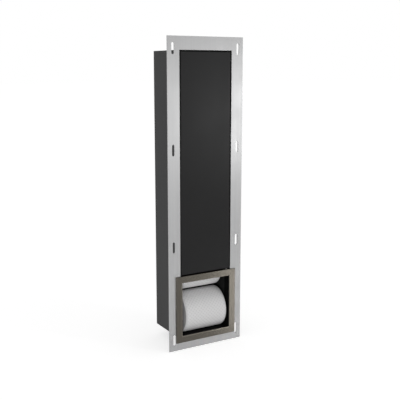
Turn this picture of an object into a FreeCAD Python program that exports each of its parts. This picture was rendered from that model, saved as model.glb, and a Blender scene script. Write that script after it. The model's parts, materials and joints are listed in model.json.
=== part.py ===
import FreeCAD, Part
import math
import os
from FreeCAD import Vector

# Recessed toilet paper holder: millimetres, X across, Y into the wall, Z up.
# The origin is the centre of the mounting flange's back face, which lies on the wall.

# Paper rolls
roll_capacity = 6
rolls_loaded = 3
roll_diameter = 91.0
roll_width = 102.0
core_diameter = 42.0
core_wall = 1.0
core_gap = 0.1
roll_gap = 0.3
roll_shift = 1.6
roll_stands_proud = 3.5
spare_roll_gap = 3.5
spare_roll_shift = -0.8
spare_roll_front = 12.5

# Sheet-steel box: its room for the rolls
side_room = 10.5
head_room = 62.7
back_room = 10.2
box_sheet = 1.0
fold_inside = 0.5
corner_inside = 1.5
corner_relief = 2.5
end_flange = 8.0
end_flange_front = 30.0

# Mounting flange round the box's mouth
flange_thick = 2.0
stile_width = 27.5
top_rail = 27.5
bottom_rail = 24.0
slot_width = 6.0
slot_length = 24.0
slot_rows = 4
slot_edge = 12.6
slot_end = 24.5

# Spigot that guides the trim frame in the box
spigot_sheet = 0.6
spigot_room = 0.9
roll_stop_gap = 1.5
spigot_foot = 6.0
spigot_corner = 2.0
grip_thick = 0.2
grip_bulge = 0.6
grip_width = 10.0
grip_start = 5.0
grip_back_room = 3.0
grip_heights = (25.0, 90.0)

# Trim frame round the roll opening
trim_rail = 14.8
trim_proud = 3.0
trim_sheet = 1.0
trim_outer_round = 0.7
trim_inner_round = 1.5
trim_above_edge = 17.0

# Rail between the door and the roll opening
rail_height = 13.0
rail_sheet = 1.0

# Door panel
door_gap = 1.0
door_foot_gap = 1.4
door_thick = 8.0
door_sheet = 1.0
door_bend = 2.0
door_lip = 10.0
lip_slit = 0.6
stiffener_place = 22.0
stiffener_crown = 14.0
stiffener_foot = 7.0
stiffener_sheet = 0.8
stiffener_inset = 34.0

# Door pivots
pivot_edge = 6.0
pivot_back = 4.0
pin_radius = 1.5
pin_reach = 7.0
pin_head_radius = 2.4
pin_head = 1.6
pin_collar = 0.6
running_gap = 0.05
pin_hole_gap = 0.4
washer_radius = 2.5
block_height = 9.0
block_reach = 15.5
lug_start = 6.0
lug_length = 6.0
lug_height = 4.0

# Push latch beside the spare rolls
latch_width = 8.0
latch_height = 14.0
latch_front = 15.0
latch_length = 39.0
latch_chamfer = 1.0
latch_wall = 2.0
latch_hook = 4.0
plunger_radius = 2.5
plunger_back = 32.0
head_radius = 4.0
head_length = 3.5
head_stand = 0.7
magnet_radius = 3.0
magnet_length = 3.0
spring_strip = 0.3
spring_width = 2.4
spring_sweep = 1.7
spring_bend = 0.3
spring_legs = 4
bracket_sheet = 1.0
bracket_front = 20.0
bracket_length = 28.0
bracket_leg = 7.0
latch_screw_radius = 1.25
latch_screw_depth = 3.0
latch_screw_head_radius = 2.5
latch_screw_head = 1.5
strike_width = 7.0
strike_height = 18.0
strike_thick = 1.0
strike_edge = 0.3
strike_gap = 0.3

# Door stops
stop_front = 11.5
stop_reach = 9.0
stop_leg = 12.0
stop_height = 16.0
stop_inset = 30.0
buffer_radius = 3.0
buffer_length = 2.5

# Overrun of every cut, and how near two places count as one
overrun = 1.0
same_place = 0.01

# Places worked out from the sizes above
roll_radius = roll_diameter / 2
core_radius = core_diameter / 2
first_roll_back = roll_radius - roll_stands_proud
spare_roll_back = spare_roll_front + roll_radius
inside_half = roll_width / 2 + side_room
inside_height = roll_capacity * (roll_diameter + roll_gap) + head_room
inside_back = spare_roll_back + roll_radius + back_room
box_half = inside_half + box_sheet
flange_half = box_half + stile_width
flange_height = inside_height + 2 * box_sheet + top_rail + bottom_rail
flange_foot = -flange_height / 2
flange_top = flange_height / 2
box_foot = flange_foot + bottom_rail
box_top = flange_top - top_rail
inside_foot = box_foot + box_sheet
inside_top = box_top - box_sheet
opening_half = inside_half - spigot_room - spigot_sheet - trim_sheet
trim_half = opening_half + trim_rail
trim_foot = flange_foot + trim_above_edge
trim_top = trim_foot + 2 * trim_half
opening_foot = trim_foot + trim_rail
opening_top = trim_top - trim_rail
spigot_floor = opening_foot - trim_sheet
first_roll_z = inside_foot + roll_gap + roll_radius
roll_rise = first_roll_z - spigot_floor
roll_reach = math.sqrt((roll_radius + roll_stop_gap) ** 2 - roll_rise ** 2)
spigot_depth = first_roll_back - roll_reach
grip_end = spigot_depth - grip_back_room
trim_back = -flange_thick
trim_front = trim_back - trim_proud
door_half = inside_half - door_gap
door_foot = trim_top + door_foot_gap
door_top = inside_top - door_gap
door_front = -flange_thick
door_back = door_front + door_thick
pivot_x = door_half - pivot_edge
pivot_y = door_front + pivot_back
latch_x = -inside_half + bracket_sheet + latch_width / 2
latch_z = (door_foot + door_top) / 2
latch_back = latch_front + latch_length
strike_back = door_back + strike_thick
magnet_front = strike_back + strike_gap
head_front = magnet_front + head_stand
head_back = head_front + head_length

ALONG_X = Vector(1, 0, 0)
ALONG_Y = Vector(0, 1, 0)
ALONG_Z = Vector(0, 0, 1)


def block(x0, x1, y0, y1, z0, z1):
    """A box between two corners."""
    return Part.makeBox(x1 - x0, y1 - y0, z1 - z0, Vector(x0, y0, z0))


def rod(radius, start, along, length):
    """A round bar from a start point."""
    return Part.makeCylinder(radius, length, start, along)


def edges_along(shape, axis, keep):
    """The straight edges that run along an axis and whose middle passes the keep test."""
    found = []
    for edge in shape.Edges:
        first = edge.Vertexes[0].Point
        last = edge.Vertexes[-1].Point
        run = last - first
        if run.Length > 0 and abs(run.normalize().dot(axis)) > math.cos(math.radians(1)):
            if keep((first + last) / 2):
                found.append(edge)
    return found


def front_edges(shape, front):
    """The edges of the flat face at the front."""
    return [
        edge for edge in shape.Edges
        if all(abs(corner.Point.y - front) < same_place for corner in edge.Vertexes)
    ]


def rounded_plate(x0, x1, y0, y1, z0, z1, radius):
    """A plate in the wall's plane with four rounded corners."""
    plate = block(x0, x1, y0, y1, z0, z1)
    return plate.makeFillet(radius, edges_along(plate, ALONG_Y, lambda middle: True))


def sheet_side(points, thick, bend, left):
    """One face line of a folded sheet as points and arcs; the other face lies to the left."""
    lines = []
    start = None
    for i in range(1, len(points)):
        ahead = (points[i] - points[i - 1]).normalize()
        side = Vector(-ahead.y, ahead.x, 0)
        if i == 1:
            start = points[0] + side * left
        if i == len(points) - 1:
            lines.append((start, points[i] + side * left))
            break
        turned = (points[i + 1] - points[i]).normalize()
        turned_side = Vector(-turned.y, turned.x, 0)
        to_left = ahead.cross(turned).z > 0
        radius = bend if to_left == (left > 0) else bend + thick
        corner = points[i] + (side + turned_side) * (left / (1 + side.dot(turned_side)))
        reach = radius * math.tan(ahead.getAngle(turned) / 2)
        arc_start = corner - ahead * reach
        arc_end = corner + turned * reach
        inward = 1 if to_left else -1
        centre = arc_start + side * (radius * inward)
        arc_middle = centre - (side + turned_side).normalize() * (radius * inward)
        lines.append((start, arc_start))
        lines.append((arc_start, arc_middle, arc_end))
        start = arc_end
    return lines


def folded_sheet(points, thick, bend, place, run):
    """A folded sheet: its profile lies left of the points, and it is extruded along run."""
    flat = [Vector(u, v, 0) for u, v in points]
    near = sheet_side(flat, thick, bend, 0)
    far = sheet_side(flat, thick, bend, thick)
    ends = [(near[0][0], far[0][0]), (near[-1][-1], far[-1][-1])]
    edges = []
    for line in near + far + ends:
        placed = [place(p.x, p.y) for p in line]
        if len(placed) == 2:
            edges.append(Part.LineSegment(placed[0], placed[1]).toShape())
        else:
            edges.append(Part.Arc(placed[0], placed[1], placed[2]).toShape())
    wire = Part.Wire(Part.__sortEdges__(edges))
    return Part.Face(wire).extrude(run)


def slot_cutter(x, z):
    """One upright slotted hole of the flange."""
    radius = slot_width / 2
    straight = slot_length / 2 - radius
    front = -flange_thick - overrun
    length = flange_thick + 2 * overrun
    cutter = block(x - radius, x + radius, front, front + length, z - straight, z + straight)
    for end in (z - straight, z + straight):
        cutter = cutter.fuse(rod(radius, Vector(x, front, end), ALONG_Y, length))
    return cutter.removeSplitter()


def mounting_flange():
    """The flat frame that is screwed to the wall; the box's mouth fills its window."""
    plate = block(-flange_half, flange_half, -flange_thick, 0, flange_foot, flange_top)
    cutters = [block(-box_half, box_half, -flange_thick - overrun, overrun, box_foot, box_top)]
    pitch = (flange_height - 2 * slot_end) / (slot_rows - 1)
    for row in range(slot_rows):
        z = flange_foot + slot_end + row * pitch
        for side in (-1, 1):
            cutters.append(slot_cutter(side * (flange_half - slot_edge), z))
    return plate.cut(cutters)


def box_wrapper():
    """Left side, back and right side folded from one sheet, flush with the flange's front."""
    points = [
        (-inside_half, -flange_thick),
        (-inside_half, inside_back),
        (inside_half, inside_back),
        (inside_half, -flange_thick),
    ]
    height = box_top - box_foot
    return folded_sheet(
        points, box_sheet, corner_inside, lambda x, y: Vector(x, y, box_foot), ALONG_Z * height
    )


def box_end_plate(level, up):
    """An end plate between the wrapper's sides, with two flanges turned into the box."""
    outside = level + up * box_sheet
    points = [
        (-inside_half, outside - up * end_flange),
        (-inside_half, outside),
        (inside_half, outside),
        (inside_half, outside - up * end_flange),
    ]
    if up > 0:
        points.reverse()
    flanged_back = inside_back - corner_relief
    channel = folded_sheet(
        points, box_sheet, fold_inside,
        lambda x, z: Vector(x, end_flange_front, z), ALONG_Y * (flanged_back - end_flange_front),
    )
    low = min(level, outside)
    high = max(level, outside)
    back_half = inside_half - corner_relief
    front = block(-inside_half, inside_half, -flange_thick, end_flange_front, low, high)
    back = block(-back_half, back_half, flanged_back, inside_back, low, high)
    return channel.fuse([front, back]).removeSplitter()


def box_top_plate():
    """The top plate, drilled for the upper pivot pin."""
    hole_foot = Vector(pivot_x, pivot_y, inside_top - overrun)
    return box_end_plate(inside_top, 1).cut(
        rod(pin_radius + running_gap, hole_foot, ALONG_Z, box_sheet + 2 * overrun)
    )


def box_bottom_plate():
    return box_end_plate(inside_foot, -1)


def cross_rail():
    """A folded channel between the door and the opening; it keeps the spare rolls back and holds a pin."""
    back = spare_roll_front - roll_gap
    points = [
        (back, trim_top),
        (-flange_thick, trim_top),
        (-flange_thick, trim_top - rail_height),
        (back, trim_top - rail_height),
    ]
    rail = folded_sheet(
        points, rail_sheet, fold_inside,
        lambda y, z: Vector(-inside_half, y, z), ALONG_X * (2 * inside_half),
    )
    foot = trim_top - rail_sheet - overrun
    hole = rod(pin_radius + running_gap, Vector(pivot_x, pivot_y, foot), ALONG_Z, rail_sheet + 2 * overrun)
    return rail.cut(hole)


def top_pivot_pin():
    """A collared pin riveted in the top plate, flush outside, that hangs down into the door."""
    shank_foot = door_top - door_sheet - pin_reach
    shank = rod(pin_radius, Vector(pivot_x, pivot_y, shank_foot), ALONG_Z, box_top - shank_foot)
    collar = rod(pin_head_radius, Vector(pivot_x, pivot_y, inside_top - pin_collar), ALONG_Z, pin_collar)
    return shank.fuse(collar).removeSplitter()


def bottom_pivot_pin():
    """A headed pin pushed up through the cross rail into the door."""
    seat = trim_top - rail_sheet
    shank_top = door_foot + door_sheet + pin_reach
    shank = rod(pin_radius, Vector(pivot_x, pivot_y, seat), ALONG_Z, shank_top - seat)
    head = rod(pin_head_radius, Vector(pivot_x, pivot_y, seat - pin_head), ALONG_Z, pin_head)
    return shank.fuse(head).removeSplitter()


def thrust_washer():
    """The washer that carries the door's weight on the cross rail."""
    foot = Vector(pivot_x, pivot_y, trim_top)
    thick = door_foot_gap - running_gap
    ring = rod(washer_radius, foot, ALONG_Z, thick)
    return ring.cut(rod(pin_radius + running_gap, foot, ALONG_Z, thick))


def door_panel():
    """A shallow tray: front skin, four folded edges and inward lips with mitred corners."""
    tray = block(-door_half, door_half, door_front, door_back, door_foot, door_top)
    tray = tray.makeFillet(door_bend, front_edges(tray, door_front))
    hollow = block(
        -door_half + door_sheet, door_half - door_sheet, door_front + door_sheet, door_back - door_sheet,
        door_foot + door_sheet, door_top - door_sheet,
    )
    hollow = hollow.makeFillet(door_bend - door_sheet, front_edges(hollow, door_front + door_sheet))
    back_opening = block(
        -door_half + door_lip, door_half - door_lip, door_back - door_sheet - overrun, door_back + overrun,
        door_foot + door_lip, door_top - door_lip,
    )
    cutters = [hollow, back_opening]
    for side in (-1, 1):
        for end, level in ((-1, door_foot), (1, door_top)):
            slit = Part.makeBox(
                door_lip * math.sqrt(2), door_sheet + overrun, lip_slit,
                Vector(0, door_back - door_sheet, -lip_slit / 2),
            )
            turn = math.degrees(math.atan2(end, -side))
            slit.rotate(Vector(0, 0, 0), ALONG_Y, turn)
            slit.translate(Vector(side * (door_half - door_sheet), 0, level - end * door_sheet))
            cutters.append(slit)
    for level in (door_foot, door_top - door_sheet):
        start = Vector(pivot_x, pivot_y, level - overrun)
        cutters.append(rod(pin_radius + pin_hole_gap, start, ALONG_Z, door_sheet + 2 * overrun))
    for lug in pivot_lugs(running_gap):
        cutters.append(lug)
    return tray.cut(cutters)


def door_stiffener(x):
    """An upright hat channel behind the door's skin."""
    inner = door_front + door_sheet
    crown = door_back - door_sheet
    half = stiffener_crown / 2
    points = [
        (x - half - stiffener_foot, inner),
        (x - half, inner),
        (x - half, crown - stiffener_sheet),
        (x + half, crown - stiffener_sheet),
        (x + half, inner),
        (x + half + stiffener_foot, inner),
    ]
    length = door_top - door_foot - 2 * stiffener_inset
    return folded_sheet(
        points, stiffener_sheet, fold_inside,
        lambda u, v: Vector(u, v, door_foot + stiffener_inset), ALONG_Z * length,
    )


def pivot_lugs(margin):
    """The lugs of the lower and upper pivot block that snap through the door's lip."""
    lugs = []
    right = pivot_x - lug_start
    half = lug_height / 2 + margin
    for middle in (door_foot + door_sheet + block_height / 2, door_top - door_sheet - block_height / 2):
        lugs.append(
            block(
                right - lug_length - margin, right + margin,
                door_back - door_sheet - margin, door_back + margin,
                middle - half, middle + half,
            )
        )
    return lugs


def pivot_block(foot, lug):
    """A moulded block in the door's corner that turns on a pivot pin."""
    front = door_front + door_sheet
    back = door_back - door_sheet
    body = block(
        pivot_x - block_reach, door_half - door_sheet, front, back, foot, foot + block_height
    )
    body = body.makeChamfer(door_bend - door_sheet, front_edges(body, front))
    bore_foot = Vector(pivot_x, pivot_y, foot - overrun)
    bore = rod(pin_radius + running_gap, bore_foot, ALONG_Z, block_height + 2 * overrun)
    return body.fuse(lug).removeSplitter().cut(bore)


def bottom_pivot_block():
    return pivot_block(door_foot + door_sheet, pivot_lugs(0)[0])


def top_pivot_block():
    return pivot_block(door_top - door_sheet - block_height, pivot_lugs(0)[1])


def strike_plate():
    """The steel plate on the door's lip that the latch magnet holds."""
    left = -door_half + strike_edge
    return rounded_plate(
        left, left + strike_width, door_back, strike_back,
        latch_z - strike_height / 2, latch_z + strike_height / 2, strike_thick,
    )


def trim_frame():
    """A square frame folded as a hollow pan that sits on the flange."""
    outer = block(-trim_half, trim_half, trim_front, trim_back, trim_foot, trim_top)
    outer = outer.makeFillet(trim_outer_round, front_edges(outer, trim_front))
    opening = block(
        -opening_half, opening_half, trim_front - overrun, trim_back + overrun, opening_foot, opening_top
    )
    frame = outer.cut(opening)
    inner_edges = [
        edge for edge in front_edges(frame, trim_front)
        if abs(edge.CenterOfMass.x) < opening_half + same_place
        and opening_foot - same_place < edge.CenterOfMass.z < opening_top + same_place
    ]
    frame = frame.makeFillet(trim_inner_round, inner_edges)
    hollow = block(
        -trim_half + trim_sheet, trim_half - trim_sheet, trim_front + trim_sheet, trim_back + overrun,
        trim_foot + trim_sheet, trim_top - trim_sheet,
    )
    rim = rounded_plate(
        -opening_half - trim_sheet, opening_half + trim_sheet, trim_front, trim_back + 2 * overrun,
        opening_foot - trim_sheet, opening_top + trim_sheet, spigot_corner + running_gap,
    )
    return frame.cut(hollow.cut(rim))


def trim_spigot():
    """A three-sided sleeve welded in the trim frame; it slides in the box and stops the roll."""
    inner_half = opening_half + trim_sheet
    outer_half = inner_half + spigot_sheet
    front = trim_front + trim_sheet
    high = opening_top + spigot_corner + overrun
    outer_corner = spigot_corner + spigot_sheet
    tube = rounded_plate(
        -outer_half, outer_half, front, spigot_depth, spigot_floor - spigot_sheet, high, outer_corner
    )
    foot_plate = rounded_plate(
        -inner_half - spigot_foot, inner_half + spigot_foot, front, front + spigot_sheet,
        spigot_floor - spigot_foot, high, outer_corner,
    )
    bore = rounded_plate(
        -inner_half, inner_half, front - overrun, spigot_depth + overrun,
        spigot_floor, high + overrun, spigot_corner,
    )
    above = block(
        -flange_half, flange_half, front - overrun, spigot_depth + overrun,
        opening_top, high + 2 * overrun,
    )
    return tube.fuse(foot_plate).cut([bore, above]).removeSplitter()


def trim_grip_springs():
    """Bowed leaf springs on the spigot's sides that grip the box."""
    seat = opening_half + trim_sheet + spigot_sheet
    middle = (grip_start + grip_end) / 2
    springs = []
    for side in (-1, 1):
        for height in grip_heights:
            z = opening_foot + height - grip_width / 2
            inner = Part.Arc(
                Vector(side * seat, grip_start, z),
                Vector(side * (seat + grip_bulge - grip_thick), middle, z),
                Vector(side * seat, grip_end, z),
            ).toShape()
            outer = Part.Arc(
                Vector(side * (seat + grip_thick), grip_start, z),
                Vector(side * (seat + grip_bulge), middle, z),
                Vector(side * (seat + grip_thick), grip_end, z),
            ).toShape()
            ends = []
            for y in (grip_start, grip_end):
                near = Vector(side * seat, y, z)
                far = Vector(side * (seat + grip_thick), y, z)
                ends.append(Part.LineSegment(near, far).toShape())
            wire = Part.Wire(Part.__sortEdges__([inner, outer] + ends))
            springs.append(Part.Face(wire).extrude(ALONG_Z * grip_width))
    return Part.makeCompound(springs)


def latch_hook_block(margin):
    """The hook under the latch's body that sits in a window of the bracket."""
    foot = latch_z - latch_height / 2 - bracket_sheet
    middle = bracket_front + bracket_length / 2
    return block(
        latch_x - latch_hook / 2 - margin, latch_x + latch_hook / 2 + margin,
        middle - latch_hook / 2 - margin, middle + latch_hook / 2 + margin,
        foot - margin, foot + bracket_sheet + margin,
    )


def latch_screw_seat():
    return Vector(latch_x, bracket_front + bracket_length / 2, latch_z + latch_height / 2 + bracket_sheet)


def latch_bracket():
    """A channel welded inside the box's left side that holds the latch."""
    half = latch_height / 2
    base = latch_x - latch_width / 2
    points = [
        (base + bracket_leg, latch_z - half),
        (base, latch_z - half),
        (base, latch_z + half),
        (base + bracket_leg, latch_z + half),
    ]
    channel = folded_sheet(
        points, bracket_sheet, fold_inside,
        lambda x, z: Vector(x, bracket_front, z), ALONG_Y * bracket_length,
    )
    hole_top = latch_screw_seat() + ALONG_Z * overrun
    hole = rod(latch_screw_radius + running_gap, hole_top, -ALONG_Z, bracket_sheet + 2 * overrun)
    return channel.cut([hole, latch_hook_block(running_gap)])


def latch_housing():
    """The latch's moulded body with its plunger bore, hook and screw hole."""
    half = latch_height / 2
    left = latch_x - latch_width / 2
    body = block(left, left + latch_width, latch_front, latch_back, latch_z - half, latch_z + half)
    body = body.makeChamfer(latch_chamfer, edges_along(body, ALONG_Y, lambda middle: True))
    bore_front = Vector(latch_x, latch_front - overrun, latch_z)
    bore = rod(plunger_radius + running_gap, bore_front, ALONG_Y, latch_length - latch_wall + overrun)
    screw_hole = rod(
        latch_screw_radius + running_gap, latch_screw_seat(), -ALONG_Z, bracket_sheet + latch_screw_depth
    )
    return body.fuse(latch_hook_block(0)).removeSplitter().cut([bore, screw_hole])


def latch_screw():
    """The pan-head screw that fixes the latch's body in its bracket."""
    length = bracket_sheet + latch_screw_depth - running_gap
    shank = rod(latch_screw_radius, latch_screw_seat(), -ALONG_Z, length)
    head = rod(latch_screw_head_radius, latch_screw_seat(), ALONG_Z, latch_screw_head)
    return shank.fuse(head).removeSplitter()


def latch_plunger():
    """The sliding plunger: a stem with a cupped head for the magnet."""
    head = rod(head_radius, Vector(latch_x, head_front, latch_z), ALONG_Y, head_length)
    stem = rod(plunger_radius, Vector(latch_x, head_back, latch_z), ALONG_Y, plunger_back - head_back)
    pocket = rod(
        magnet_radius + running_gap, Vector(latch_x, head_front - overrun, latch_z), ALONG_Y,
        magnet_length - head_stand + overrun,
    )
    return head.fuse(stem).removeSplitter().cut(pocket)


def latch_magnet():
    return rod(magnet_radius, Vector(latch_x, magnet_front, latch_z), ALONG_Y, magnet_length)


def latch_spring():
    """A strip folded to and fro between the plunger and the bore's end."""
    front = plunger_back + spring_strip
    back = latch_back - latch_wall - spring_strip
    points = [(front, -spring_sweep)]
    for leg in range(spring_legs + 1):
        side = 1 if leg % 2 == 0 else -1
        points.append((front + (back - front) * leg / spring_legs, side * spring_sweep))
    points.append((back, -spring_sweep))
    return folded_sheet(
        points, spring_strip, spring_bend,
        lambda y, z: Vector(latch_x - spring_width / 2, y, latch_z + z), ALONG_X * spring_width,
    )


def door_stops():
    """Two folded tabs welded inside the box's left side."""
    tabs = []
    for z in stop_levels():
        points = [
            (-inside_half, stop_front + box_sheet + stop_leg),
            (-inside_half, stop_front),
            (-inside_half + stop_reach, stop_front),
        ]
        tabs.append(
            folded_sheet(
                points, box_sheet, fold_inside,
                lambda x, y, z=z: Vector(x, y, z - stop_height / 2), ALONG_Z * stop_height,
            )
        )
    return Part.makeCompound(tabs)


def door_stop_buffers():
    """Rubber buffers on the front of the tabs."""
    buffers = []
    for z in stop_levels():
        front = Vector(-inside_half + stop_reach / 2, stop_front - buffer_length, z)
        buffers.append(rod(buffer_radius, front, ALONG_Y, buffer_length))
    return Part.makeCompound(buffers)


def stop_levels():
    return (door_foot + stop_inset, door_top - stop_inset)


def roll_centres():
    """The roll in use lies forward on the floor; the spare rolls stand clear of it behind the rail."""
    centres = [Vector(roll_shift, first_roll_back, first_roll_z)]
    spacing = roll_diameter + roll_gap
    step_back = spare_roll_back - first_roll_back
    rise = math.sqrt((roll_diameter + spare_roll_gap) ** 2 - step_back ** 2)
    for spare in range(rolls_loaded - 1):
        centres.append(Vector(spare_roll_shift, spare_roll_back, centres[0].z + rise + spare * spacing))
    return centres


def paper_roll(centre):
    start = centre - ALONG_X * (roll_width / 2)
    paper = rod(roll_radius, start, ALONG_X, roll_width)
    return paper.cut(rod(core_radius, start, ALONG_X, roll_width))


def cardboard_core(centre):
    start = centre - ALONG_X * (roll_width / 2)
    outer = rod(core_radius - core_gap, start, ALONG_X, roll_width)
    return outer.cut(rod(core_radius - core_gap - core_wall, start, ALONG_X, roll_width))


def main():
    os.makedirs("parts", exist_ok=True)
    pieces = {
        "mounting_flange": mounting_flange(),
        "box_wrapper": box_wrapper(),
        "box_top_plate": box_top_plate(),
        "box_bottom_plate": box_bottom_plate(),
        "cross_rail": cross_rail(),
        "top_pivot_pin": top_pivot_pin(),
        "bottom_pivot_pin": bottom_pivot_pin(),
        "thrust_washer": thrust_washer(),
        "latch_bracket": latch_bracket(),
        "latch_housing": latch_housing(),
        "latch_screw": latch_screw(),
        "door_stops": door_stops(),
        "door_stop_buffers": door_stop_buffers(),
        "door_panel": door_panel(),
        "door_stiffener_left": door_stiffener(-stiffener_place),
        "door_stiffener_right": door_stiffener(stiffener_place),
        "top_pivot_block": top_pivot_block(),
        "bottom_pivot_block": bottom_pivot_block(),
        "strike_plate": strike_plate(),
        "trim_frame": trim_frame(),
        "trim_spigot": trim_spigot(),
        "trim_grip_springs": trim_grip_springs(),
        "latch_plunger": latch_plunger(),
        "latch_magnet": latch_magnet(),
        "latch_spring": latch_spring(),
    }
    for number, centre in enumerate(roll_centres(), 1):
        name = "roll_in_use" if number == 1 else "spare_roll_%d" % (number - 1)
        pieces[name + "_paper"] = paper_roll(centre)
        pieces[name + "_core"] = cardboard_core(centre)
    for name, shape in pieces.items():
        shape.exportStep(os.path.join("parts", name + ".step"))
        print(name, len(shape.Solids), shape.isValid(), round(shape.Volume, 1))


main()
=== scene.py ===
import json
import math

import bpy
import bmesh
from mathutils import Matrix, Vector, noise


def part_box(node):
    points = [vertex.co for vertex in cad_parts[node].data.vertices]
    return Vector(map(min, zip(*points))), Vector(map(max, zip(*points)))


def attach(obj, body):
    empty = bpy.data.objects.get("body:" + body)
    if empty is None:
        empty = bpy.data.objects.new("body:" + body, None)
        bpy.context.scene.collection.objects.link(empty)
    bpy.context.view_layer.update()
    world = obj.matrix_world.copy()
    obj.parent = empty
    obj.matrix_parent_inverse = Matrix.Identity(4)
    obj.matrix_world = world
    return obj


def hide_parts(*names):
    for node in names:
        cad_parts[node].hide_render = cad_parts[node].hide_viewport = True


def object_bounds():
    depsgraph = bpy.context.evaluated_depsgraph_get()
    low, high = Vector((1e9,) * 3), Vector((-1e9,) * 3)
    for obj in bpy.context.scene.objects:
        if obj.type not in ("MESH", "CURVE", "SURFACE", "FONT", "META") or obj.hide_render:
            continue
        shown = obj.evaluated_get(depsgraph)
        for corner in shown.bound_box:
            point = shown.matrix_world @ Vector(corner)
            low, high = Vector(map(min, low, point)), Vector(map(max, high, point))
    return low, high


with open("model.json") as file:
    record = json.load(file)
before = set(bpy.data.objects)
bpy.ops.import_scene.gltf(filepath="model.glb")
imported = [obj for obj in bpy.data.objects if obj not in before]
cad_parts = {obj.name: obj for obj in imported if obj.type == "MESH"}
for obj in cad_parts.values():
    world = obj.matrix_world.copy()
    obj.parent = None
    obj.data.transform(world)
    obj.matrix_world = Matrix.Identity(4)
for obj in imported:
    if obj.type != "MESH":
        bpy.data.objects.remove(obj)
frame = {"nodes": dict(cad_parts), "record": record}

cad_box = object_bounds()
nodes = frame["nodes"]
MM = 0.001
TURN = 2 * math.pi

# The camera, solved from the straight edges in the photograph
PHOTO_SIZE = 400
FOCAL_PIXELS = 701.15
SENSOR_WIDTH = 36.0
CAMERA_PLACE = (-0.7486, -1.2629, 0.2639)
CAMERA_TURN = math.radians(30.21)
CAMERA_DIP = math.radians(10.48)

# Floor and sky; metal mirrors the floor with a white, a glow and a gloss of their own
FLOOR_HALF = 30.0
FLOOR_WHITE = 0.8
FLOOR_LIFT = 0.64
MIRRORED_FLOOR_WHITE = 0.1
MIRRORED_FLOOR_LIFT = 0.87
MIRRORED_FLOOR_GLOSS = 1.0
FLOOR_ROUGHNESS = 0.15
WORLD_LEVEL = 0.46

# A tall key light at the right, also mirrored in the floor, and a fill light low at the left
KEY_PLACE = (0.94, -1.3, 0.09)
KEY_AIM = (0.0, 0.0, 0.1)
KEY_WIDTH = 0.12
KEY_HEIGHT = 0.38
KEY_POWER = 2.8
FILL_PLACE = (-0.8, -1.15, -0.27)
FILL_AIM = (0.0, 0.0, -0.25)
FILL_WIDTH = 0.24
FILL_POWER = 7.0

# The stretch of a noise's values that a finish uses; values beyond it count as its ends
WIDE = (0.3, 0.7)
NARROW = (0.35, 0.65)

# Depths of relief
FLANGE_GRAIN_DEPTH = 0.01 * MM
TRIM_GRAIN_DEPTH = 0.01 * MM
MITRE_DEPTH = 0.08 * MM
PEEL_DEPTH = 0.03 * MM
BOX_PEEL_DEPTH = 0.06 * MM
SMALL_PART_DEPTH = 0.02 * MM
LAYERS_DEPTH = 0.12 * MM
CRUMPLE_DEPTH = 0.25 * MM
FIBRE_DEPTH = 0.06 * MM
CARD_SEAM_DEPTH = 0.2 * MM
CARD_FIBRE_DEPTH = 0.05 * MM

# Colours, linear
FLANGE_STEEL = (0.318, 0.318, 0.32)
BRONZE_GREY = (0.086, 0.0786, 0.067)
BOX_OUTSIDE = (0.047, 0.047, 0.0478)
# The box's inside colour is painted shade
BOX_INSIDE_PAINTED_SHADE = (0.02, 0.02, 0.02)
# Near black for the parts inside the recess, as painted shade
RECESS_SHADE_BLACK = (0.004, 0.004, 0.004)
DOOR_BLACK = (0.008, 0.008, 0.0083)
ZINC = (0.6, 0.6, 0.57)
BLACKENED_STEEL = (0.05, 0.05, 0.05)
GALVANISED = (0.5, 0.51, 0.52)
SPRING_STEEL = (0.4, 0.4, 0.41)
NICKEL = (0.68, 0.67, 0.64)
NATURAL_ACETAL = (0.72, 0.71, 0.67)
GREY_MOULDING = (0.16, 0.165, 0.17)
BUFFER_RUBBER = (0.02, 0.02, 0.02)
TISSUE = (0.755, 0.751, 0.754)
CARDBOARD = (0.36, 0.27, 0.18)

# Paper rolls: pressed dots, the last ply's step, soft skin, rounded edge and uneven winding
DOT_PITCH = 8.5 * MM
DOT_DEPTH = 0.4 * MM
DOT_FIELD_LOW = 0.12
DOT_FIELD_HIGH = 0.8
BARE_RIM_DOTS = 0.6
LAST_PLY = 0.3 * MM
PAPER_GIVE = 0.14 * MM
GIVE_AROUND = 1.6
GIVE_ALONG = 14
PAPER_ROOM = 0.05 * MM
SKIN_INSET = 0.15 * MM
ROLL_EDGE = 1.2 * MM
EDGE_FLATNESS = 0.8
EDGE_STEPS = 4
WINDING = 1.0 * MM
WINDING_UNEVEN = 0.3 * MM
WAVES_PER_WINDING = 0.9
NOISE_ROW = (3.7, 1.3)
# The pressed dots are darkened partly as pressed paper and partly as painted shade of their dents
PRESSED_AND_SHADED_DARKER = 0.45
# The roll's ends are darkened as painted shade
ENDS_PAINTED_SHADE = 0.8

# Paper cores: the spiral seam
SEAM_PITCH = 58 * MM
SEAM_SHARE = 0.008

# Trim frame: its rail, a painted highlight line along the opening, painted shade on the return
# inside it, its mitres.
# A fade is measured from the opening's edge.
TRIM_RAIL = 14.8 * MM
HIGHLIGHT_FADE_START = 1.7 * MM
HIGHLIGHT_FADE_END = 2.0 * MM
PAINTED_HIGHLIGHT_LIGHTER = 1.7
RETURN_FADE_START = 0.1 * MM
RETURN_FADE_END = 0.3 * MM
RETURN_PAINTED_SHADE = 0.1
MITRE_HALF = 0.25 * MM

# How far in from its outer faces the box still has its outside colour; deeper in, its colour is
# painted shade of the inside
SKIN_DEPTH = 0.3 * MM

# Door's rim, with less reflection than its face as painted shade of the gap round it; the fade is
# measured from the rim
RIM_FADE_START = 0.6 * MM
RIM_FADE_END = 1.4 * MM
RIM_SHADE_SPECULAR = 0.02
DOOR_SPECULAR = 0.145

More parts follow.
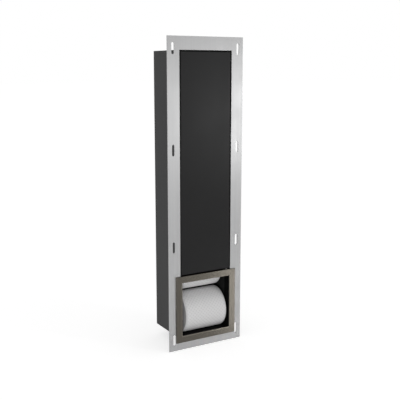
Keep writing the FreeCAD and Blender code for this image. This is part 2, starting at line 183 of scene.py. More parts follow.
# Spot welds on the box's sides, and how far they are from the ends and edges of what they hold
WELD_RADIUS = 2.2 * MM
WELD_TOP = 0.75
WELD_RISE = 0.25 * MM
WELD_SIDES = 20
WELDS_PER_FLANGE = 5
WELD_INSET = 5 * MM
FIRST_WELD = 40 * MM
LAST_WELD = 10 * MM
EDGE_WELD = 6 * MM
STOP_WELD_NEAR = 4 * MM
STOP_WELD_FAR = 12 * MM

# Latch screw: its cross recess, its domed head and its thread
RECESS_REACH = 1.35 * MM
RECESS_HALF = 0.35 * MM
RECESS_DEPTH = 0.8 * MM
DOME_DROP = 0.45
SCREW_RINGS = 22
SCREW_SIDES = 72
THREAD_PITCH = 0.5 * MM
THREAD_DEPTH = 0.12 * MM

# Eased edges of moulded parts
SAME_POINT = 0.001 * MM
FLAT_ANGLE = math.radians(1)
SHARP_ANGLE = math.radians(40)


def mesh_object(name, mesh, material):
    """A new piece whose mesh is already in place."""
    piece = bpy.data.objects.new(name, mesh)
    bpy.context.scene.collection.objects.link(piece)
    mesh.materials.clear()
    mesh.materials.append(material)
    return piece


def mesh_from(name, points, faces):
    mesh = bpy.data.meshes.new(name)
    mesh.from_pydata(points, [], faces)
    mesh.update()
    return mesh


def carry(piece, body, slot, *replaced):
    """The piece rides on a body and takes the place of CAD nodes."""
    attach(piece, body)
    if replaced:
        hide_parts(*replaced)
    return piece


def add_number(mesh, name, values):
    layer = mesh.attributes.new(name, "FLOAT", "POINT")
    layer.data.foreach_set("value", values)


class Tree:
    """A geometry node tree built in steps."""

    def __init__(self, name, sizes):
        self.group = bpy.data.node_groups.new(name, "GeometryNodeTree")
        faces = self.group.interface
        faces.new_socket("Geometry", in_out="INPUT", socket_type="NodeSocketGeometry")
        for title, kind in sizes:
            faces.new_socket(title, in_out="INPUT", socket_type=kind)
        faces.new_socket("Material", in_out="INPUT", socket_type="NodeSocketMaterial")
        faces.new_socket("Geometry", in_out="OUTPUT", socket_type="NodeSocketGeometry")
        self.given = self.group.nodes.new("NodeGroupInput").outputs
        self.result = self.group.nodes.new("NodeGroupOutput").inputs[0]

    def add(self, kind, inputs=(), **settings):
        node = self.group.nodes.new(kind)
        for key, value in settings.items():
            setattr(node, key, value)
        for key, value in dict(inputs).items():
            if isinstance(value, bpy.types.NodeSocket):
                self.group.links.new(value, node.inputs[key])
            else:
                node.inputs[key].default_value = value
        return node

    def math(self, operation, first, second=0.0):
        return self.add("ShaderNodeMath", {0: first, 1: second}, operation=operation).outputs[0]

    def vector(self, operation, first, second):
        node = self.add("ShaderNodeVectorMath", {0: first, 1: second}, operation=operation)
        return node.outputs[0]

    def stored(self, name):
        node = self.add("GeometryNodeInputNamedAttribute", {"Name": name}, data_type="FLOAT")
        return node.outputs["Attribute"]

    def close(self, geometry):
        """Every tree ends in Realize Instances and Set Material."""
        real = self.add("GeometryNodeRealizeInstances", {"Geometry": geometry}).outputs["Geometry"]
        dressed = self.add(
            "GeometryNodeSetMaterial", {"Geometry": real, "Material": self.given["Material"]}
        ).outputs["Geometry"]
        self.group.links.new(dressed, self.result)
        return self

    def grow(self, name, base, material, sizes):
        """The tree's result on a base mesh, as a plain mesh object."""
        source = mesh_object(name + "_base", base, material)
        modifier = source.modifiers.new(name, "NODES")
        modifier.node_group = self.group
        given = dict(sizes, Material=material)
        for item in self.group.interface.items_tree:
            if item.in_out == "INPUT" and item.name in given:
                modifier[item.identifier] = given[item.name]
        bpy.context.view_layer.update()
        graph = bpy.context.evaluated_depsgraph_get()
        plain = bpy.data.meshes.new_from_object(source.evaluated_get(graph), depsgraph=graph)
        bpy.data.objects.remove(source)
        plain.name = name
        return mesh_object(name, plain, material)


def quilting_tree():
    """Presses a staggered field of dots into a roll's outer ply."""
    tree = Tree("quilted_dots", (
        ("Dots Around", "NodeSocketFloat"), ("Dots Across", "NodeSocketFloat"),
        ("Depth", "NodeSocketFloat"), ("Axis", "NodeSocketVector"),
    ))
    dots_around = tree.math("MULTIPLY", tree.stored("around"), tree.given["Dots Around"])
    dots_across = tree.math("MULTIPLY", tree.stored("across"), tree.given["Dots Across"])
    around = tree.math("COSINE", tree.math("MULTIPLY", dots_around, TURN))
    across = tree.math("COSINE", tree.math("MULTIPLY", dots_across, TURN))
    press = tree.add("ShaderNodeMapRange", {
        "Value": tree.math("MULTIPLY", around, across),
        "From Min": DOT_FIELD_LOW, "From Max": DOT_FIELD_HIGH, "To Min": 0.0, "To Max": 1.0,
    }, interpolation_type="SMOOTHSTEP").outputs["Result"]
    full_depth = tree.math("MULTIPLY", press, tree.given["Depth"])
    depth = tree.math("MULTIPLY", full_depth, tree.stored("skin"))
    place = tree.add("GeometryNodeInputPosition").outputs[0]
    from_centre = tree.vector("SUBTRACT", place, tree.given["Axis"])
    spoke = tree.vector("MULTIPLY", from_centre, (0.0, 1.0, 1.0))
    outward = tree.add("ShaderNodeVectorMath", {0: spoke}, operation="NORMALIZE").outputs[0]
    push = tree.add("ShaderNodeVectorMath", {
        0: outward, "Scale": tree.math("MULTIPLY", depth, -1.0),
    }, operation="SCALE").outputs[0]
    moved = tree.add("GeometryNodeSetPosition", {
        "Geometry": tree.given["Geometry"], "Offset": push,
    })
    pressed = tree.math("MULTIPLY", press, tree.stored("skin"))
    kept = tree.add("GeometryNodeStoreNamedAttribute", {
        "Geometry": moved.outputs["Geometry"], "Name": "pressed", "Value": pressed,
    }, data_type="FLOAT", domain="POINT")
    return tree.close(kept.outputs["Geometry"])


def spot_weld_tree():
    """A shallow round weld mark on each point, facing the way its side number says."""
    tree = Tree("spot_welds", (("Radius", "NodeSocketFloat"), ("Rise", "NodeSocketFloat")))
    mark = tree.add("GeometryNodeMeshCone", {
        "Vertices": WELD_SIDES, "Radius Top": tree.math("MULTIPLY", tree.given["Radius"], WELD_TOP),
        "Radius Bottom": tree.given["Radius"], "Depth": tree.given["Rise"],
    }, fill_type="TRIANGLE_FAN").outputs["Mesh"]
    tilt = tree.math("MULTIPLY", tree.stored("side"), TURN / 4)
    turned = tree.add("ShaderNodeCombineXYZ", {"Y": tilt}).outputs[0]
    placed = tree.add("GeometryNodeInstanceOnPoints", {
        "Points": tree.given["Geometry"], "Instance": mark, "Rotation": turned,
    })
    return tree.close(placed.outputs["Instances"])


def winding_unevenness(radius):
    """How far one turn of paper stands in from the roll's end."""
    wave = noise.noise((radius / WINDING * WAVES_PER_WINDING, *NOISE_ROW))
    return WINDING_UNEVEN * (0.5 + 0.5 * wave)


def roll_profile(inner, outer, half, per_dot):
    """The roll's section: distance along the axis, radius, how much it is skin, place across."""
    rows = []
    rings = int((outer - inner) / WINDING)
    for ring in range(rings):
        radius = inner + (outer - ROLL_EDGE - inner) * ring / (rings - 1)
        fade = min(1.0, (outer - radius) / WINDING / 2)
        rows.append((half - winding_unevenness(radius) * fade, radius, 0.0, 0.0))
    for step in range(1, EDGE_STEPS + 1):
        angle = TURN / 4 * step / EDGE_STEPS
        along = half - ROLL_EDGE * (1 - math.cos(angle)) * EDGE_FLATNESS
        rows.append((along, outer - ROLL_EDGE * (1 - math.sin(angle)), 0.0, 0.0))
    edge = half - ROLL_EDGE * EDGE_FLATNESS
    dots = round(2 * edge / DOT_PITCH)
    steps = dots * per_dot
    middle = []
    for step in range(1, steps):
        share = step / steps
        fade = min(1.0, min(share, 1 - share) * dots / BARE_RIM_DOTS)
        middle.append((edge * (1 - 2 * share), outer, fade, share))
    left = [(-along, radius, skin, 1.0) for along, radius, skin, share in reversed(rows)]
    return rows + middle + left, dots


def ring_faces(sides, rows):
    """Faces of a closed section that is carried once round an axis."""
    faces = []
    for side in range(sides):
        here = side * rows
        there = ((side + 1) % sides) * rows
        for row in range(rows):
            after = (row + 1) % rows
            faces.append((here + row, there + row, there + after, here + after))
    return faces


def paper_roll(name, tree, material, per_dot, turn):
    """A soft roll: wound ends, rounded edges, a last ply that ends in a step, and pressed dots."""
    low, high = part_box(name + "_paper")
    centre = (low + high) / 2
    outer = (high.z - low.z) / 2
    core_low, core_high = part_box(name + "_core")
    inner = (core_high.z - core_low.z) / 2 + PAPER_ROOM
    half = (high.x - low.x) / 2
    dots_around = round(TURN * outer / DOT_PITCH)
    sides = dots_around * per_dot
    profile, dots_across = roll_profile(inner, outer - SKIN_INSET, half, per_dot)
    points, around, across, skin = [], [], [], []
    for side in range(sides):
        share = side / sides
        angle = TURN * share + turn
        y, z = math.sin(angle), math.cos(angle)
        for along, radius, is_skin, place_across in profile:
            wound = (radius - inner) / (outer - inner)
            spot = (z * GIVE_AROUND, y * GIVE_AROUND, along * GIVE_ALONG)
            give = noise.noise(spot) * PAPER_GIVE
            reach = radius - wound * (LAST_PLY * share - give * is_skin)
            points.append((centre.x + along, centre.y + reach * y, centre.z + reach * z))
            around.append(share)
            across.append(place_across)
            skin.append(is_skin)
    base = mesh_from(name, points, ring_faces(sides, len(profile)))
    add_number(base, "around", around)
    add_number(base, "across", across)
    add_number(base, "skin", skin)
    piece = tree.grow(name + "_sheets", base, material, {
        "Dots Around": float(dots_around), "Dots Across": float(dots_across),
        "Depth": DOT_DEPTH, "Axis": tuple(centre),
    })
    for polygon in piece.data.polygons:
        polygon.use_smooth = True
    return carry(piece, name, "roll_paper", name + "_paper")


def weld_points():
    """Where the box's sides are welded to the end plates, the latch bracket and the door stops."""
    wrapper_low, wrapper_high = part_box("box_wrapper")
    points = []
    for plate in ("box_top_plate", "box_bottom_plate"):
        low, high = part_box(plate)
        height = high.z - WELD_INSET if plate == "box_top_plate" else low.z + WELD_INSET
        first = low.y + FIRST_WELD
        last = high.y - LAST_WELD
        for number in range(WELDS_PER_FLANGE):
            depth = first + (last - first) * number / (WELDS_PER_FLANGE - 1)
            points.append((wrapper_low.x, depth, height, -1))
            points.append((wrapper_high.x, depth, height, 1))
    low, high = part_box("latch_bracket")
    for depth in (low.y + EDGE_WELD, high.y - EDGE_WELD):
        points.append((wrapper_low.x, depth, (low.z + high.z) / 2, -1))
    low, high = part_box("door_stops")
    for height in (
        low.z + STOP_WELD_NEAR, low.z + STOP_WELD_FAR,
        high.z - STOP_WELD_FAR, high.z - STOP_WELD_NEAR,
    ):
        points.append((wrapper_low.x, high.y - EDGE_WELD, height, -1))
    return points


def spot_welds(material):
    places = weld_points()
    base = mesh_from("spot_welds", [place[:3] for place in places], [])
    add_number(base, "side", [float(place[3]) for place in places])
    sizes = {"Radius": WELD_RADIUS, "Rise": WELD_RISE}
    piece = spot_weld_tree().grow("spot_welds", base, material, sizes)
    return carry(piece, "cassette", "black_box")


def eased_copy(node_name, body, slot, width, material):
    """A moulded or turned part with its sharp edges eased."""
    mesh = nodes[node_name].data.copy()
    shape = bmesh.new()
    shape.from_mesh(mesh)
    bmesh.ops.remove_doubles(shape, verts=shape.verts, dist=SAME_POINT)
    bmesh.ops.dissolve_limit(shape, angle_limit=FLAT_ANGLE, verts=shape.verts, edges=shape.edges)
    sharp = [
        edge for edge in shape.edges
        if len(edge.link_faces) == 2 and edge.calc_face_angle() > SHARP_ANGLE
    ]
    bmesh.ops.bevel(
        shape, geom=sharp, offset=width, segments=2, profile=0.5, affect="EDGES", clamp_overlap=True
    )
    bmesh.ops.recalc_face_normals(shape, faces=shape.faces)
    shape.to_mesh(mesh)
    shape.free()
    piece = mesh_object(node_name + "_eased", mesh, material)
    return carry(piece, body, slot, node_name)


def screw_head_height(x, y, radius, height):
    """A low dome with a cross recess."""
    across = min(1.0, math.hypot(x, y) / radius)
    dome = height * (1 - DOME_DROP * across ** 3)
    arm = min(max(abs(x), abs(y)) / RECESS_REACH, 1.0)
    in_recess = min(abs(x), abs(y)) < RECESS_HALF and arm < 1
    return dome - (RECESS_DEPTH * (1 - arm ** 2) if in_recess else 0)


def latch_screw_points():
    """The pan-head screw ring by ring, from the middle of its head to its threaded end."""
    low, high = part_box("latch_screw")
    middle = (low + high) / 2
    radius = (high.x - low.x) / 2
    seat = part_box("latch_bracket")[1].z
    height = high.z - seat
    shank = radius / 2
    steps = int((seat - low.z) / (THREAD_PITCH / 4))
    angles = [TURN * side / SCREW_SIDES for side in range(SCREW_SIDES)]
    points = [(middle.x, middle.y, seat + screw_head_height(0, 0, radius, height))]

    def add_point(angle, reach, level):
        x, y = reach * math.cos(angle), reach * math.sin(angle)
        points.append((middle.x + x, middle.y + y, level))

    for ring in range(1, SCREW_RINGS + 1):
        reach = radius * ring / SCREW_RINGS
        for angle in angles:
            x, y = reach * math.cos(angle), reach * math.sin(angle)
            add_point(angle, reach, seat + screw_head_height(x, y, radius, height))
    for reach in (radius, shank):
        for angle in angles:
            add_point(angle, reach, seat)
    for step in range(1, steps + 1):
        level = seat - (seat - low.z) * step / steps
        for angle in angles:
            wave = math.cos(TURN * (level - low.z) / THREAD_PITCH + angle)
            add_point(angle, shank - THREAD_DEPTH * (1 - wave), level)
    return points


def latch_screw_piece(material):
    """The latch bracket's screw, with its cross recess and its thread."""
    points = latch_screw_points()
    rows = len(points) // SCREW_SIDES
    faces = [(0, 1 + side, 1 + (side + 1) % SCREW_SIDES) for side in range(SCREW_SIDES)]
    for row in range(rows - 1):
        here = 1 + row * SCREW_SIDES
        there = here + SCREW_SIDES
        for side in range(SCREW_SIDES):
            after = (side + 1) % SCREW_SIDES
            faces.append((here + side, there + side, there + after, here + after))
    last = 1 + (rows - 1) * SCREW_SIDES
    faces.append(tuple(last + side for side in range(SCREW_SIDES)))
    mesh = mesh_from("latch_screw", points, faces)
    shape = bmesh.new()
    shape.from_mesh(mesh)
    bmesh.ops.recalc_face_normals(shape, faces=shape.faces)
    shape.to_mesh(mesh)
    shape.free()
    piece = mesh_object("latch_screw_turned", mesh, material)
    return carry(piece, "cassette", "zinc_steel", "latch_screw")


def shade(colour, factor):
    return tuple(factor * part for part in colour)


class Finish:
    """One procedural material, built node by node on object coordinates in metres."""

    def __init__(self, name, colour, roughness, metallic=0.0, specular=0.5):
        self.material = bpy.data.materials.new(name)
        self.material.use_nodes = True
        self.tree = self.material.node_tree
        self.shader = self.tree.nodes["Principled BSDF"]
        self.shader.inputs["Base Color"].default_value = (*colour, 1)
        self.shader.inputs["Roughness"].default_value = roughness
        self.shader.inputs["Metallic"].default_value = metallic
        self.shader.inputs["Specular IOR Level"].default_value = specular
        self.place = self.tree.nodes.new("ShaderNodeTexCoord").outputs["Object"]
        self.surface = None

    def node(self, kind, **settings):
        made = self.tree.nodes.new(kind)
        for key, value in settings.items():
            setattr(made, key, value)
        return made

    def link(self, source, target):
        self.tree.links.new(source, target)

    def stretched(self, scale, offset=(0, 0, 0)):
        mapping = self.node("ShaderNodeMapping")
        self.link(self.place, mapping.inputs["Vector"])
        mapping.inputs["Scale"].default_value = scale
        mapping.inputs["Location"].default_value = offset
        return mapping.outputs["Vector"]

    def measured_from(self, x, y, z):
        """The place's three parts, counted from a point."""
        parts = self.node("ShaderNodeSeparateXYZ")
        self.link(self.stretched((1, 1, 1), (-x, -y, -z)), parts.inputs["Vector"])
        return parts.outputs

    def noise(self, scale, detail=3.0):
        """Noise with this many features per metre along each axis."""
        texture = self.node("ShaderNodeTexNoise")
        self.link(self.stretched(scale), texture.inputs["Vector"])
        texture.inputs["Scale"].default_value = 1.0
        texture.inputs["Detail"].default_value = detail
        texture.inputs["Roughness"].default_value = 0.5
        return texture.outputs["Fac"]

    def span(self, value, low, high, start, end):
        """From start to end while the value goes from low to high, and level outside them."""
        spread = self.node("ShaderNodeMapRange")
        self.link(value, spread.inputs["Value"])
        spread.inputs["From Min"].default_value = low
        spread.inputs["From Max"].default_value = high
        spread.inputs["To Min"].default_value = start
        spread.inputs["To Max"].default_value = end
        return spread.outputs["Result"]

    def math(self, operation, first, second=None):
        made = self.node("ShaderNodeMath", operation=operation)
        for socket, value in zip(made.inputs, (first, second)):
            if isinstance(value, (int, float)):
                socket.default_value = value
            elif value is not None:
                self.link(value, socket)
        return made.outputs["Value"]

    def mixed(self, first, first_share, second, second_share):
        """Two patterns added up by their shares."""
        first_part = self.math("MULTIPLY", first, first_share)
        return self.math("ADD", first_part, self.math("MULTIPLY", second, second_share))

    def blend(self, amount, first, second):
        """The first colour where the amount is 0 and the second where it is 1."""
        mix = self.node("ShaderNodeMix", data_type="RGBA")
        self.link(amount, mix.inputs["Factor"])
        for key, value in (("A", first), ("B", second)):
            if isinstance(value, tuple):
                mix.inputs[key].default_value = (*value, 1)
            else:
                self.link(value, mix.inputs[key])
        return mix.outputs["Result"]

    def varied(self, pattern, stretch, colour, darkest, lightest):
        """The colour, darkened and lightened over a stretch of a pattern's values."""
        amount = self.span(pattern, *stretch, 0, 1)
        return self.blend(amount, shade(colour, darkest), shade(colour, lightest))

    def colour(self, source):
        self.link(source, self.shader.inputs["Base Color"])

    def roughness(self, source):
        self.link(source, self.shader.inputs["Roughness"])

    def brushed(self, spread, direction):
        """A highlight drawn out along one direction."""
        self.shader.inputs["Anisotropic"].default_value = spread
        along = self.node("ShaderNodeCombineXYZ")
        for key, value in zip("XYZ", direction):
            along.inputs[key].default_value = value
        self.link(along.outputs["Vector"], self.shader.inputs["Tangent"])

    def relief(self, height, depth, strength=1.0):
        """Bumps on top of those that are already there."""
        bump = self.node("ShaderNodeBump")
        bump.inputs["Strength"].default_value = strength
        bump.inputs["Distance"].default_value = depth
        self.link(height, bump.inputs["Height"])
        if self.surface is not None:
            self.link(self.surface, bump.inputs["Normal"])
        self.surface = bump.outputs["Normal"]
        self.link(self.surface, self.shader.inputs["Normal"])


def flange_steel():
    """Stainless sheet with an upright brushed grain, faint streaks and handling marks."""
    finish = Finish("brushed_flange_steel", FLANGE_STEEL, roughness=0.3, metallic=1.0)
    finish.brushed(spread=0.4, direction=(1, 0, 0))
    grain = finish.noise((2600, 2600, 14), detail=2)
    streak = finish.noise((230, 230, 1.6), detail=3)
    cloud = finish.noise((22, 22, 15), detail=4)
    lines = finish.mixed(grain, 0.5, streak, 0.5)
    finish.colour(finish.varied(lines, WIDE, FLANGE_STEEL, darkest=0.93, lightest=1.07))
    smudged = finish.mixed(lines, 0.6, cloud, 0.4)
    finish.roughness(finish.span(smudged, *NARROW, start=0.34, end=0.44))
    finish.relief(grain, FLANGE_GRAIN_DEPTH)
    return finish.material


def coat(name, colour, roughness, specular):
    """The start of a powder coat: its finish, its orange peel and its rubbed patches."""
    finish = Finish(name, colour, roughness, specular=specular)
    peel = finish.noise((900, 900, 900), detail=2)
    rub = finish.noise((14, 14, 9), detail=4)
    return finish, peel, rub


def recess_shade_paint():
    """Dull black powder coat of the sleeve, the rail and the bottom plate, made near black as
    painted shade of the recess.
    """
    finish, peel, rub = coat("dull_black_painted_shade_inside", RECESS_SHADE_BLACK, roughness=0.75, specular=0.03)
    finish.colour(finish.varied(rub, NARROW, RECESS_SHADE_BLACK, darkest=0.92, lightest=1.08))
    finish.roughness(finish.span(rub, *WIDE, start=0.675, end=0.825))
    finish.relief(peel, PEEL_DEPTH, strength=0.5)
    return finish.material


def door_paint():
    """The door's powder coat, with its reflection dimmed along its rim as painted shade of the gap
    round it.
    """
    low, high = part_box("door_panel")
    middle = (low + high) / 2
    finish, peel, rub = coat("door_powder_coat", DOOR_BLACK, roughness=0.34, specular=0.15)
    finish.colour(finish.varied(rub, NARROW, DOOR_BLACK, darkest=0.92, lightest=1.08))
    finish.roughness(finish.span(rub, *WIDE, start=0.31, end=0.37))
    place = finish.measured_from(middle.x, 0, middle.z)
    beside = finish.math("SUBTRACT", (high.x - low.x) / 2, finish.math("ABSOLUTE", place["X"]))
    beyond = finish.math("SUBTRACT", (high.z - low.z) / 2, finish.math("ABSOLUTE", place["Z"]))
    from_rim = finish.math("MINIMUM", beside, beyond)
    # Painted shade: the reflection fades out towards the rim
    rim_painted_shade = finish.span(from_rim, RIM_FADE_START, RIM_FADE_END, RIM_SHADE_SPECULAR, DOOR_SPECULAR)
    finish.link(rim_painted_shade, finish.shader.inputs["Specular IOR Level"])
    finish.relief(peel, PEEL_DEPTH, strength=0.5)
    return finish.material


def box_paint():
    """Black-grey paint outside; the inside of the folded box is darkened as painted shade."""
    low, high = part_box("box_wrapper")
    middle = (low + high) / 2
    finish, peel, rub = coat("box_paint", BOX_OUTSIDE, roughness=0.55, specular=0.15)
    place = finish.measured_from(middle.x, high.y, middle.z)
    across = finish.math("ABSOLUTE", place["X"])
    upward = finish.math("ABSOLUTE", place["Z"])
    beside = finish.math("GREATER_THAN", across, (high.x - low.x) / 2 - SKIN_DEPTH)
    beyond = finish.math("GREATER_THAN", upward, (high.z - low.z) / 2 - SKIN_DEPTH)
    behind = finish.math("GREATER_THAN", place["Y"], -SKIN_DEPTH)
    outside = finish.math("MAXIMUM", finish.math("MAXIMUM", beside, beyond), behind)
    rubbed = finish.varied(rub, NARROW, BOX_OUTSIDE, darkest=0.94, lightest=1.06)
    # Painted shade: the box's inside faces are darker than its outside
    finish.colour(finish.blend(outside, BOX_INSIDE_PAINTED_SHADE, rubbed))
    finish.relief(peel, BOX_PEEL_DEPTH, strength=0.8)
    return finish.material


def trim_metal():
    """Bronze-grey brushed steel: grain along each rail, mitres, a painted highlight along the inner
    edge and painted shade on the return inside it.
    """
    low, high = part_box("trim_frame")
    middle = (low + high) / 2
    finish = Finish("brushed_bronze_grey", BRONZE_GREY, roughness=0.18, metallic=1.0)
    finish.brushed(spread=0.3, direction=(0, 0, 1))
    upright = finish.noise((2400, 2400, 20), detail=2)
    level = finish.noise((20, 2400, 2400), detail=2)
    place = finish.measured_from(middle.x, 0, middle.z)
    across = finish.math("ABSOLUTE", place["X"])
    along = finish.math("ABSOLUTE", place["Z"])
    side_rail = finish.math("GREATER_THAN", across, along)
    from_mitre = finish.math("ABSOLUTE", finish.math("SUBTRACT", across, along))
    rails = finish.node("ShaderNodeMix")
    finish.link(side_rail, rails.inputs["Factor"])
    finish.link(level, rails.inputs["A"])
    finish.link(upright, rails.inputs["B"])
    grain = rails.outputs["Result"]
    opening = (high.x - low.x) / 2 - TRIM_RAIL
    from_edge = finish.math("SUBTRACT", finish.math("MAXIMUM", across, along), opening)
    brushed = finish.varied(grain, WIDE, BRONZE_GREY, darkest=0.82, lightest=1.18)
    # Painted highlight: a brighter band on the rails along the opening's edge
    painted_highlight = finish.span(from_edge, HIGHLIGHT_FADE_START, HIGHLIGHT_FADE_END, 1.0, 0.0)
    with_painted_highlight = finish.blend(painted_highlight, brushed, shade(BRONZE_GREY, PAINTED_HIGHLIGHT_LIGHTER))
    # Painted shade: the return inside the opening is darkened nearly to black
    painted_shade_inward = finish.span(from_edge, RETURN_FADE_START, RETURN_FADE_END, 1.0, 0.0)
    finish.colour(finish.blend(painted_shade_inward, with_painted_highlight, shade(BRONZE_GREY, RETURN_PAINTED_SHADE)))
    finish.relief(grain, TRIM_GRAIN_DEPTH)
    finish.relief(finish.span(from_mitre, 0, MITRE_HALF, 0, 1), MITRE_DEPTH)
    return finish.material


def plain_metal(name, colour, roughness):
    """Small steel parts: zinc, spring wire and nickel, slightly clouded."""
    finish = Finish(name, colour, roughness, metallic=1.0)
    cloud = finish.noise((300, 300, 300), detail=3)
    finish.colour(finish.varied(cloud, WIDE, colour, darkest=0.85, lightest=1.1))
    finish.roughness(finish.span(cloud, *WIDE, start=roughness * 0.8, end=roughness * 1.2))
    finish.relief(cloud, SMALL_PART_DEPTH, strength=0.5)
    return finish.material


def galvanised_sheet():
    """Hot-dip galvanised sheet with its spangle."""
    finish = Finish("galvanised_sheet", GALVANISED, roughness=0.4, metallic=1.0)
    cells = finish.node("ShaderNodeTexVoronoi")
    finish.link(finish.stretched((160, 160, 160)), cells.inputs["Vector"])
    flake = finish.node("ShaderNodeSeparateColor")
    finish.link(cells.outputs["Color"], flake.inputs["Color"])
    dark, light = shade(GALVANISED, 0.75), shade(GALVANISED, 1.15)
    finish.colour(finish.blend(flake.outputs["Red"], dark, light))
    finish.roughness(finish.span(flake.outputs["Green"], 0, 1, start=0.3, end=0.5))
    return finish.material


def moulded_plastic(name, colour, roughness):
    """Moulded parts with a fine spark-eroded grain and faint clouds in the colour."""
    finish = Finish(name, colour, roughness)
    grain = finish.noise((1500, 1500, 1500), detail=2)
    cloud = finish.noise((60, 60, 60), detail=2)
    finish.colour(finish.varied(cloud, WIDE, colour, darkest=0.94, lightest=1.05))
    finish.roughness(finish.span(grain, *WIDE, start=roughness * 0.9, end=roughness * 1.1))
    finish.relief(grain, SMALL_PART_DEPTH, strength=0.5)
    return finish.material


def tissue_paper():
    """Soft white tissue with fibre, a faint crumple and the fine winding at its ends; its ends
    darkened as painted shade, its pressed dots partly as pressed paper and partly as painted shade.
    """
    finish = Finish("tissue_paper", TISSUE, roughness=0.95, specular=0.05)
    fibre = finish.noise((1800, 1800, 1800), detail=4)
    crumple = finish.noise((130, 130, 130), detail=3)
    skin = finish.node("ShaderNodeAttribute", attribute_name="skin")
    ends = finish.math("SUBTRACT", 1.0, skin.outputs["Fac"])
    pressed = finish.node("ShaderNodeAttribute", attribute_name="pressed")
    light = finish.span(fibre, *WIDE, start=0.8, end=1.0)
    # Painted shade: the ends are darkened, and the pressed dots partly so as well as being pressed
    # paper
    for amount, darker in ((pressed.outputs["Fac"], PRESSED_AND_SHADED_DARKER), (ends, ENDS_PAINTED_SHADE)):
        light = finish.math("SUBTRACT", light, finish.math("MULTIPLY", amount, darker))
    finish.colour(finish.blend(light, shade(TISSUE, 0.8), shade(TISSUE, 1.08)))
    layers = finish.noise((4, 5200, 5200), detail=1)
    finish.relief(finish.math("MULTIPLY", layers, ends), LAYERS_DEPTH, strength=0.7)
    finish.relief(crumple, CRUMPLE_DEPTH, strength=0.5)
    finish.relief(fibre, FIBRE_DEPTH, strength=0.6)
    return finish.material


def core_cardboard(node_name):
    """Grey-brown card wound in a spiral, with its seam."""
    low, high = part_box(node_name)
    middle = (low + high) / 2
    finish = Finish(node_name + "_card", CARDBOARD, roughness=0.9, specular=0.1)
    fibre = finish.noise((700, 700, 700), detail=4)
    finish.colour(finish.varied(fibre, WIDE, CARDBOARD, darkest=0.85, lightest=1.12))
    place = finish.measured_from(*middle)
    turn = finish.math("DIVIDE", finish.math("ARCTAN2", place["Z"], place["Y"]), TURN)
    wound = finish.math("ADD", finish.math("DIVIDE", place["X"], SEAM_PITCH), turn)
    from_seam = finish.math("ABSOLUTE", finish.math("SUBTRACT", finish.math("FRACT", wound), 0.5))
    finish.relief(finish.span(from_seam, 0.0, SEAM_SHARE, 0, 1), CARD_SEAM_DEPTH)
    finish.relief(fibre, CARD_FIBRE_DEPTH, strength=0.6)
    return finish.material


def stage_floor():
    """A plain pale floor that keeps the shadow and shows white in metal."""
    level = cad_box[0][2]
    sides = ((-1, -1), (1, -1), (1, 1), (-1, 1))
    corners = [(x * FLOOR_HALF, y * FLOOR_HALF, level) for x, y in sides]
    mesh = mesh_from("floor", corners, [(0, 1, 2, 3)])
    finish = Finish("pale_floor", (1, 1, 1), FLOOR_ROUGHNESS)
    finish.shader.inputs["Emission Color"].default_value = (1, 1, 1, 1)
    path = finish.node("ShaderNodeLightPath")
    in_mirror = path.outputs["Is Glossy Ray"]
    seen = finish.math("MULTIPLY", path.outputs["Is Camera Ray"], FLOOR_LIFT)
    mirrored = finish.math("MULTIPLY", in_mirror, MIRRORED_FLOOR_LIFT)
    finish.link(finish.math("MAXIMUM", seen, mirrored), finish.shader.inputs["Emission Strength"])
    finish.colour(finish.span(in_mirror, 0, 1, FLOOR_WHITE, MIRRORED_FLOOR_WHITE))
    gloss = finish.math("MULTIPLY", in_mirror, MIRRORED_FLOOR_GLOSS)
    finish.link(gloss, finish.shader.inputs["Specular IOR Level"])
    floor = mesh_object("floor", mesh, finish.material)


def white_world(strength):
    """An even sky that is plain white where the camera, metal or glass sees it."""
    world = bpy.data.worlds.new("white_world")
    bpy.context.scene.world = world
    world.use_nodes = True
    tree = world.node_tree
    background = tree.nodes["Background"]
    background.inputs["Color"].default_value = (1, 1, 1, 1)
    path = tree.nodes.new("ShaderNodeLightPath")
    seen = path.outputs["Is Camera Ray"]
    for ray in ("Is Glossy Ray", "Is Transmission Ray"):
        either = tree.nodes.new("ShaderNodeMath")
        either.operation = "MAXIMUM"
        tree.links.new(seen, either.inputs[0])
        tree.links.new(path.outputs[ray], either.inputs[1])
        seen = either.outputs[0]
    level = tree.nodes.new("ShaderNodeMapRange")
    tree.links.new(seen, level.inputs["Value"])
    level.inputs["To Min"].default_value = strength
    level.inputs["To Max"].default_value = 1.0
    tree.links.new(level.outputs["Result"], background.inputs["Strength"])


def soft_box(name, place, aim, width, height, power):
    light = bpy.data.lights.new(name, "AREA")
    light.shape = "RECTANGLE"
    light.size = width
    light.size_y = height
    light.energy = power
    lamp = bpy.data.objects.new(name, light)
    bpy.context.scene.collection.objects.link(lamp)
    lamp.location = place
    lamp.rotation_euler = (Vector(aim) - Vector(place)).to_track_quat("-Z", "Y").to_euler()


def photo_camera():
    data = bpy.data.cameras.new("camera")
    data.sensor_width = SENSOR_WIDTH
    data.lens = FOCAL_PIXELS * SENSOR_WIDTH / PHOTO_SIZE
    camera = bpy.data.objects.new("camera", data)
    bpy.context.scene.collection.objects.link(camera)
    camera.location = CAMERA_PLACE
    camera.rotation_euler = (TURN / 4 - CAMERA_DIP, 0, -CAMERA_TURN)
    bpy.context.scene.camera = camera


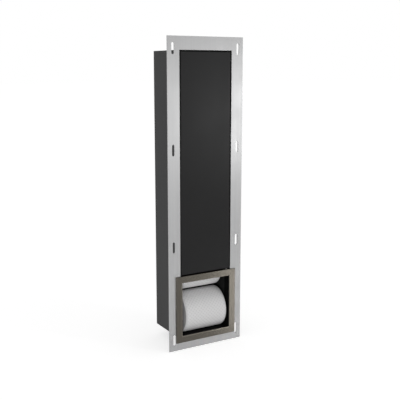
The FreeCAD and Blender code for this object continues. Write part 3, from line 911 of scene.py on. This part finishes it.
def make_finishes():
    """One finish for each material slot."""
    return {
        "flange_steel": flange_steel(),
        "black_box": box_paint(),
        "door_coat": door_paint(),
        "bronze_trim": trim_metal(),
        "zinc_steel": plain_metal("zinc_plate", ZINC, roughness=0.35),
        "dark_steel": plain_metal("blackened_steel", BLACKENED_STEEL, roughness=0.45),
        "galvanised": galvanised_sheet(),
        "spring_steel": plain_metal("spring_strip", SPRING_STEEL, roughness=0.3),
        "magnet_nickel": plain_metal("nickel_magnet", NICKEL, roughness=0.18),
        "white_nylon": moulded_plastic("natural_acetal", NATURAL_ACETAL, roughness=0.45),
        "grey_plastic": moulded_plastic("grey_moulding", GREY_MOULDING, roughness=0.5),
        "rubber_black": moulded_plastic("buffer_rubber", BUFFER_RUBBER, roughness=0.75),
        "roll_paper": tissue_paper(),
    }


def dress_nodes(finishes):
    """Each carried-over part gets the finish of its material slot."""
    slots = {part["node"]: part["material_slot"] for part in frame["record"]["subparts"]}
    recess_shade = recess_shade_paint()
    for name, node in nodes.items():
        if slots[name] == "roll_card":
            finish = core_cardboard(name)
        # These parts inside the recess take a near-black coat as painted shade
        elif name in ("trim_spigot", "cross_rail", "box_bottom_plate"):
            finish = recess_shade
        else:
            finish = finishes[slots[name]]
        node.data.materials.clear()
        node.data.materials.append(finish)


def dress_rolls(finishes):
    """The rolls' papers; the more a roll is hidden, the fewer faces it gets for each dot."""
    tree = quilting_tree()
    for name, per_dot, turn in (
        ("roll_in_use", 12, 40),
        ("spare_roll_1", 10, -70),
        ("spare_roll_2", 8, 95),
    ):
        paper_roll(name, tree, finishes["roll_paper"], per_dot, math.radians(turn))


def ease_moulded_parts(finishes):
    """The small parts whose sharp CAD edges are eased, and by how much."""
    for name, body, slot, width in (
        ("latch_housing", "cassette", "grey_plastic", 0.35 * MM),
        ("door_stop_buffers", "cassette", "rubber_black", 0.5 * MM),
        ("top_pivot_block", "door", "white_nylon", 0.3 * MM),
        ("bottom_pivot_block", "door", "white_nylon", 0.3 * MM),
        ("strike_plate", "door", "zinc_steel", 0.2 * MM),
        ("latch_plunger", "plunger", "grey_plastic", 0.3 * MM),
    ):
        eased_copy(name, body, slot, width, finishes[slot])


photo_camera()
white_world(WORLD_LEVEL)
soft_box("key_light", KEY_PLACE, KEY_AIM, KEY_WIDTH, KEY_HEIGHT, KEY_POWER)
soft_box("fill_light", FILL_PLACE, FILL_AIM, FILL_WIDTH, FILL_WIDTH, FILL_POWER)
stage_floor()
finishes = make_finishes()
dress_nodes(finishes)
dress_rolls(finishes)
spot_welds(finishes["black_box"])
ease_moulded_parts(finishes)
latch_screw_piece(finishes["zinc_steel"])

bpy.context.scene.view_settings.view_transform = "Standard"
